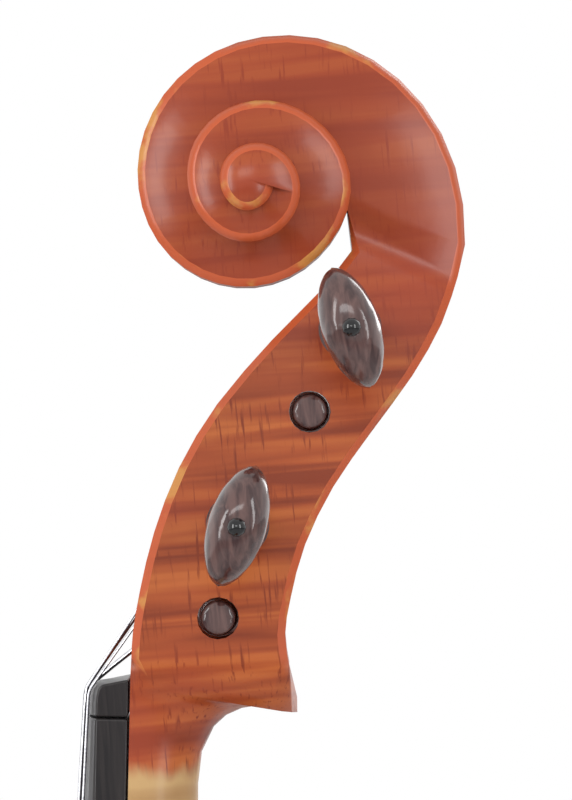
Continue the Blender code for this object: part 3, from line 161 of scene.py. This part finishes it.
class Shader:
    """A node material that is being put together."""

    def __init__(self, name):
        self.material = bpy.data.materials.new(name)
        self.material.use_nodes = True
        self.tree = self.material.node_tree
        self.surface = self.tree.nodes["Principled BSDF"]
        self.place = self.tree.nodes.new("ShaderNodeTexCoord").outputs["Object"]

    def feed(self, socket, value):
        """Link the socket to another, or set its own value."""
        if isinstance(value, bpy.types.NodeSocket):
            self.tree.links.new(value, socket)
        else:
            socket.default_value = value

    def node(self, kind, inputs, **settings):
        made = self.tree.nodes.new(kind)
        for key, value in settings.items():
            setattr(made, key, value)
        for socket, value in inputs.items():
            self.feed(made.inputs[socket], value)
        return made

    def noise(self, scale, turn=UNTURNED, detail=3.0, distortion=0.0):
        spread = self.node("ShaderNodeMapping", {"Vector": self.place, "Scale": scale, "Rotation": turn})
        wanted = {
            "Vector": spread.outputs["Vector"],
            "Scale": 1.0,
            "Detail": detail,
            "Distortion": distortion,
        }
        return self.node("ShaderNodeTexNoise", wanted).outputs[0]

    def ramp(self, value, stops):
        made = self.node("ShaderNodeValToRGB", {"Fac": value})
        points = made.color_ramp.elements
        for number, (position, colour) in enumerate(stops):
            point = points[number] if number < 2 else points.new(position)
            point.position = position
            point.color = (*colour, 1.0)
        return made.outputs["Color"]

    def mix(self, factor, first, second):
        """From the first colour to the second as the factor goes from 0 to 1."""
        made = self.node("ShaderNodeMix", {}, data_type="RGBA")
        self.feed(made.inputs[0], factor)
        for socket, value in ((made.inputs[6], first), (made.inputs[7], second)):
            self.feed(socket, (*value, 1.0) if isinstance(value, tuple) else value)
        return made.outputs[2]

    def sum(self, first, second):
        return self.node("ShaderNodeMath", {0: first, 1: second}, operation="ADD").outputs[0]

    def product(self, first, second):
        return self.node("ShaderNodeMath", {0: first, 1: second}, operation="MULTIPLY").outputs[0]

    def size(self, value):
        return self.node("ShaderNodeMath", {0: value}, operation="ABSOLUTE").outputs[0]

    def dot(self, first, second):
        wanted = {0: first, 1: tuple(second)}
        return self.node("ShaderNodeVectorMath", wanted, operation="DOT_PRODUCT").outputs["Value"]

    def step(self, value, none, full):
        """0 where the value is at none, 1 where it is at full, smooth between them."""
        wanted = {"Value": value, "From Min": none, "From Max": full}
        made = self.node("ShaderNodeMapRange", wanted, interpolation_type="SMOOTHSTEP")
        return made.outputs["Result"]

    def bump(self, height, strength, distance):
        wanted = {"Height": height, "Strength": strength, "Distance": distance}
        made = self.node("ShaderNodeBump", wanted)
        self.feed(self.surface.inputs["Normal"], made.outputs["Normal"])

    def finish(self, colour, roughness, specular, coat=0.0, coat_roughness=0.1, metallic=0.0):
        self.feed(self.surface.inputs["Base Color"], colour)
        self.feed(self.surface.inputs["Roughness"], roughness)
        self.surface.inputs["Specular IOR Level"].default_value = specular
        self.surface.inputs["Coat Weight"].default_value = coat
        self.surface.inputs["Coat Roughness"].default_value = coat_roughness
        self.surface.inputs["Metallic"].default_value = metallic
        return self.material


# Maple

def flamed(shader, flame_scale, turn):
    """Bands of flame, with pores and redder clouds over them."""
    flame = shader.noise(flame_scale, turn, detail=2.5, distortion=0.5)
    colour = shader.ramp(flame, [(0.34, DARK_MAPLE), (0.48, MIDDLE_MAPLE), (0.63, LIGHT_MAPLE)])
    pores = shader.noise(PORES, detail=2.0)
    colour = shader.mix(shader.step(pores, 0.56, 0.72), colour, DARK_MAPLE)
    clouds = shader.step(shader.noise(RED_CLOUDS, detail=2.0), 0.45, 0.70)
    return shader.mix(shader.product(clouds, 0.55), colour, RED_MAPLE)


def chamfers(shader, up_neck):
    """1 on the head's slanted edge faces, 0 on its cheeks and its back."""
    facing = shader.node("ShaderNodeNewGeometry", {}).outputs["True Normal"]
    slant = shader.size(shader.dot(facing, (0.0, 1.0, 0.0)))
    edges = shader.product(shader.step(slant, SLANT_LOW, SLANT_LOW_FULL),
                           shader.step(slant, SLANT_HIGH, SLANT_HIGH_FULL))
    return shader.product(edges, shader.step(up_neck, CHAMFER_FROM, CHAMFER_TO))


def bare_stretch(shader, up_neck):
    """1 where the neck has no varnish, with ragged edges to it."""
    ragged = shader.product(shader.sum(shader.noise(RAGGED_EDGE), -0.5), VARNISH_RAGGED)
    edge = shader.sum(up_neck, ragged)
    below = shader.step(edge, VARNISH_END + VARNISH_END_ABOVE, VARNISH_END - VARNISH_END_BELOW)
    above = shader.step(edge, VARNISH_RETURN, VARNISH_RETURN + VARNISH_RETURN_FADE)
    return shader.product(below, above)


def head_maple():
    """Flamed maple: red in the scroll, with a painted highlight on the chamfers and painted shade in its
    hollows, bare where the hand slides.
    """
    shader = Shader("head_maple")
    colour = flamed(shader, HEAD_FLAME, HEAD_TURN)
    up_neck = shader.sum(shader.dot(shader.place, NECK_LINE), -NECK_LINE.dot(NUT_POINT))
    redness = shader.step(up_neck, RED_FROM, RED_TO)
    colour = shader.mix(shader.product(redness, 0.62), colour, RED_MAPLE)

    chamfer = chamfers(shader, up_neck)
    # Painted highlight: the slanted chamfer faces are painted a brighter orange-red
    colour = shader.mix(shader.product(chamfer, 0.85), colour, CHAMFER_PAINTED_HIGHLIGHT)
    wear = shader.step(shader.noise(EDGE_WEAR, detail=4.0), 0.55, 0.66)
    colour = shader.mix(shader.product(wear, chamfer), colour, WORN_MAPLE)

    # Painted shade: hollows of the head darken towards a deep red-brown the closer the nearby wood stands
    shade = shader.node("ShaderNodeAmbientOcclusion", {"Distance": PAINTED_SHADE_REACH},
                        samples=PAINTED_SHADE_RAYS, only_local=True)
    painted_shade_depth = shader.step(shade.outputs["AO"], 0.62, 0.22)
    colour = shader.mix(shader.product(painted_shade_depth, 0.85), colour, RECESS_PAINTED_SHADE)

    bands = shader.noise(BARE_FLAME, BARE_TURN, detail=2.0, distortion=0.6)
    bare_wood = shader.ramp(bands, [(0.36, BARE_DARK), (0.60, BARE_LIGHT)])
    bare = bare_stretch(shader, up_neck)
    colour = shader.mix(bare, colour, bare_wood)
    shader.bump(shader.noise(HEAD_RIPPLE, detail=4.0), strength=0.12, distance=0.0004)
    roughness = shader.sum(shader.product(bare, 0.14), 0.30)
    return shader.finish(colour, roughness, specular=0.25, coat=0.15, coat_roughness=0.18)


def plate_maple(name, flame_scale, turn):
    """Flamed maple under an even coat of varnish."""
    shader = Shader(name)
    colour = flamed(shader, flame_scale, turn)
    shader.bump(shader.noise(PLATE_RIPPLE, detail=4.0), strength=0.10, distance=0.0004)
    return shader.finish(colour, 0.28, specular=0.35, coat=0.4, coat_roughness=0.12)


# Other materials

def spruce():
    """Straight winter lines along the body, under the same varnish."""
    shader = Shader("varnished_spruce")
    lines = shader.noise(WINTER_LINES, detail=2.0)
    colour = shader.ramp(lines, [(0.40, SPRUCE_DARK), (0.56, SPRUCE_LIGHT)])
    clouds = shader.step(shader.noise(SPRUCE_CLOUDS, detail=3.0), 0.45, 0.72)
    colour = shader.mix(shader.product(clouds, 0.35), colour, RED_MAPLE)
    shader.bump(lines, strength=0.14, distance=0.0003)
    return shader.finish(colour, 0.30, specular=0.35, coat=0.4, coat_roughness=0.13)


def plain_wood(name, dark, light, grain, roughness, specular, coat=0.0):
    """A wood with one grain direction, streaked and slightly rough."""
    shader = Shader(name)
    streaks = shader.noise(grain, STREAK_TURN, detail=5.0, distortion=0.7)
    colour = shader.ramp(streaks, [(0.36, dark), (0.64, light)])
    shader.bump(shader.noise(grain, detail=4.0), strength=0.10, distance=0.0003)
    rough = shader.sum(shader.product(streaks, 0.12), roughness - 0.06)
    return shader.finish(colour, rough, specular=specular, coat=coat, coat_roughness=0.08)


def wound_steel():
    """Flat ribbon round a core: a fine ripple along the string."""
    shader = Shader("wound_steel")
    ripple = shader.noise(WINDING, detail=1.0)
    colour = shader.ramp(ripple, [(0.35, STEEL_SHADE), (0.65, STEEL)])
    shader.bump(ripple, strength=0.25, distance=0.0001)
    return shader.finish(colour, 0.30, specular=0.5, metallic=1.0)


def black(name, roughness):
    """Black that is faintly uneven in tone and gloss."""
    shader = Shader(name)
    cloud = shader.noise(BLACK_CLOUDS, detail=3.0)
    colour = shader.ramp(cloud, [(0.35, BLACK), (0.70, BLACK_LIFT)])
    rough = shader.sum(shader.product(cloud, 0.05), roughness)
    return shader.finish(colour, rough, specular=0.5)


def pale_floor():
    shader = Shader("floor_pale")
    shade = tuple(value * FLOOR_SHADE for value in FLOOR_PALE)
    colour = shader.ramp(shader.noise(FLOOR_CLOUDS), [(0.3, FLOOR_PALE), (0.7, shade)])
    return shader.finish(colour, 0.7, specular=0.2)


# Each look's material, and the slot of the record that it stands for
LOOKS = {
    "head": (head_maple(), "varnished_maple"),
    "back": (plate_maple("back_maple", BACK_FLAME, BACK_TURN), "varnished_maple"),
    "rib": (plate_maple("rib_maple", RIB_FLAME, RIB_TURN), "varnished_maple"),
    "top": (spruce(), "spruce_top"),
    "ebony": (
        plain_wood("ebony", EBONY_DARK, EBONY_LIGHT, EBONY_GRAIN, roughness=0.30, specular=0.30),
        "ebony",
    ),
    "rosewood": (
        plain_wood("rosewood", ROSEWOOD_DARK, ROSEWOOD_LIGHT, ROSEWOOD_GRAIN,
                   roughness=0.17, specular=0.45, coat=0.3),
        "rosewood",
    ),
    "bridge": (
        plain_wood("bridge_maple", BRIDGE_DARK, BRIDGE_LIGHT, BRIDGE_GRAIN, roughness=0.50, specular=0.30),
        "bridge_maple",
    ),
    "inner": (
        plain_wood("inner_spruce", INNER_DARK, INNER_LIGHT, INNER_GRAIN, roughness=0.65, specular=0.20),
        "bare_wood",
    ),
    "steel": (wound_steel(), "string_metal"),
    "nylon": (black("black_nylon", roughness=0.42), "black_nylon"),
    "pip": (black("pip_black", roughness=0.06), "pip_black"),
}

# The look of each node is that of the first word that its name starts or ends with
NODE_LOOKS = [
    ("neck_scroll", "head"),
    ("back_plate", "back"),
    ("top_plate", "top"),
    ("_rib", "rib"),
    ("fingerboard", "ebony"),
    ("nut", "ebony"),
    ("saddle", "ebony"),
    ("tailpiece_fret", "ebony"),
    ("peg_pip", "pip"),
    ("peg_", "rosewood"),
    ("tailpiece", "rosewood"),
    ("end_button", "rosewood"),
    ("bridge", "bridge"),
    ("string_", "steel"),
    ("tailgut", "nylon"),
]

PEGS = ("peg_c", "peg_g", "peg_d", "peg_a")

# Pieces whose sharp edges get a small round, with its width in metres
ROUNDED = {"fingerboard": 0.0005, "nut": 0.0004, "saddle": 0.0004, "bridge": 0.0003, "tailpiece": 0.0005}
ROUND_SEGMENTS = 2

# Points nearer than this are one point, metres
WELD = 0.000001

# Faces that differ by less than FLAT are one face, edges past SHARP shade as sharp, and
# edges past RIM stay crisp on a smoothed peg
FLAT = math.radians(0.4)
SHARP = math.radians(33.0)
SHARP_ON_HEAD = math.radians(24.0)
RIM = math.radians(60.0)


# Pieces

def look_of(node):
    for word, look in NODE_LOOKS:
        if node.startswith(word) or node.endswith(word):
            return look
    return "inner"


def body_of(node):
    for body, members in frame["record"]["behaviour"]["bodies"].items():
        if node in members:
            return body
    return "root"


def cleaned_mesh(node):
    """The node's mesh with its points welded and its flat faces joined."""
    mesh = cad_nodes[node].data.copy()
    form = bmesh.new()
    form.from_mesh(mesh)
    bmesh.ops.remove_doubles(form, verts=form.verts, dist=WELD)
    bmesh.ops.dissolve_limit(form, angle_limit=FLAT, verts=form.verts, edges=form.edges)
    if node in PEGS:
        crease = form.edges.layers.float.new("crease_edge")
        for edge in form.edges:
            if edge.calc_face_angle(0.0) > RIM:
                edge[crease] = 1.0
    form.to_mesh(mesh)
    form.free()
    mesh.shade_smooth()
    mesh.set_sharp_from_angle(angle=SHARP_ON_HEAD if node == "neck_scroll" else SHARP)
    return mesh


def round_edges(piece, width):
    bevel = piece.modifiers.new("edge_round", "BEVEL")
    bevel.width = width
    bevel.segments = ROUND_SEGMENTS
    bevel.limit_method = "ANGLE"
    bevel.angle_limit = SHARP
    bevel.harden_normals = True


def subdivide(piece, levels):
    smooth = piece.modifiers.new("smooth", "SUBSURF")
    smooth.levels = levels
    smooth.render_levels = levels


def finished(node):
    """The node's form again, smoothed and dressed, in the node's place."""
    material, slot = LOOKS[look_of(node)]
    mesh = cleaned_mesh(node)
    mesh.materials.clear()
    mesh.materials.append(material)
    piece = bpy.data.objects.new(node + "_finished", mesh)
    bpy.context.scene.collection.objects.link(piece)
    piece.matrix_world = cad_nodes[node].matrix_world.copy()
    if node in ROUNDED:
        round_edges(piece, ROUNDED[node])
    if node in PEGS:
        subdivide(piece, 2)
    if node.startswith("string_") or node == "tailgut":
        subdivide(piece, 1)
    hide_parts(node)
    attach(piece, body_of(node))


def dress():
    """The sealed inner pieces keep their solids, and every other node is finished."""
    for node in sorted(cad_nodes):
        if look_of(node) == "inner":
            for place in cad_nodes[node].material_slots:
                place.material = LOOKS["inner"][0]
        else:
            finished(node)


# Floor, light and camera

def floor():
    place = (0.0, 0.0, cad_box[0][2] - FLOOR_GAP)
    bpy.ops.mesh.primitive_plane_add(size=FLOOR_SIZE, location=place)
    plane = bpy.context.active_object
    plane.name = "floor"
    plane.data.materials.append(pale_floor())


def softbox(name, place, size, power):
    light = bpy.data.lights.new(name, "AREA")
    light.shape = "RECTANGLE"
    light.size = size[0]
    light.size_y = size[1]
    light.energy = power
    lamp = bpy.data.objects.new(name, light)
    bpy.context.scene.collection.objects.link(lamp)
    lamp.location = place
    lamp.rotation_euler = (VIEW_CENTRE - Vector(place)).to_track_quat("-Z", "Y").to_euler()


def background(tree, colour, strength):
    made = tree.nodes.new("ShaderNodeBackground")
    made.inputs["Color"].default_value = colour
    made.inputs["Strength"].default_value = strength
    return made.outputs[0]


def white_world():
    """White where it is looked at, mirrored or seen through; softer as a light."""
    world = bpy.data.worlds.new("studio")
    bpy.context.scene.world = world
    world.use_nodes = True
    tree = world.node_tree
    tree.nodes.clear()
    path = tree.nodes.new("ShaderNodeLightPath")
    seen = path.outputs["Is Camera Ray"]
    for output in ("Is Glossy Ray", "Is Transmission Ray"):
        either = tree.nodes.new("ShaderNodeMath")
        either.operation = "MAXIMUM"
        tree.links.new(seen, either.inputs[0])
        tree.links.new(path.outputs[output], either.inputs[1])
        seen = either.outputs[0]
    choose = tree.nodes.new("ShaderNodeMixShader")
    tree.links.new(seen, choose.inputs[0])
    tree.links.new(background(tree, AMBIENT_TINT, AMBIENT_STRENGTH), choose.inputs[1])
    tree.links.new(background(tree, WHITE, 1.0), choose.inputs[2])
    output = tree.nodes.new("ShaderNodeOutputWorld")
    tree.links.new(choose.outputs[0], output.inputs["Surface"])


def camera():
    """Looks along +Y, leaning so that the neck stands within about a degree of upright."""
    lens = bpy.data.cameras.new("camera")
    lens.sensor_fit = "AUTO"
    lens.sensor_width = SENSOR
    lens.lens = SENSOR * VIEW_DISTANCE / VIEW_HEIGHT
    lens.clip_end = CLIP_END
    eye = bpy.data.objects.new("camera", lens)
    bpy.context.scene.collection.objects.link(eye)
    back = Vector((0.0, -1.0, 0.0))
    up = VIEW_UP.normalized()
    right = up.cross(back)
    place = VIEW_CENTRE + back * VIEW_DISTANCE
    eye.matrix_world = Matrix.Translation(place) @ Matrix((right, up, back)).transposed().to_4x4()
    bpy.context.scene.camera = eye


dress()
floor()
for name, (place, size, power) in SOFTBOXES.items():
    softbox(name, place, size, power)
white_world()
camera()
bpy.context.scene.view_settings.view_transform = "Standard"
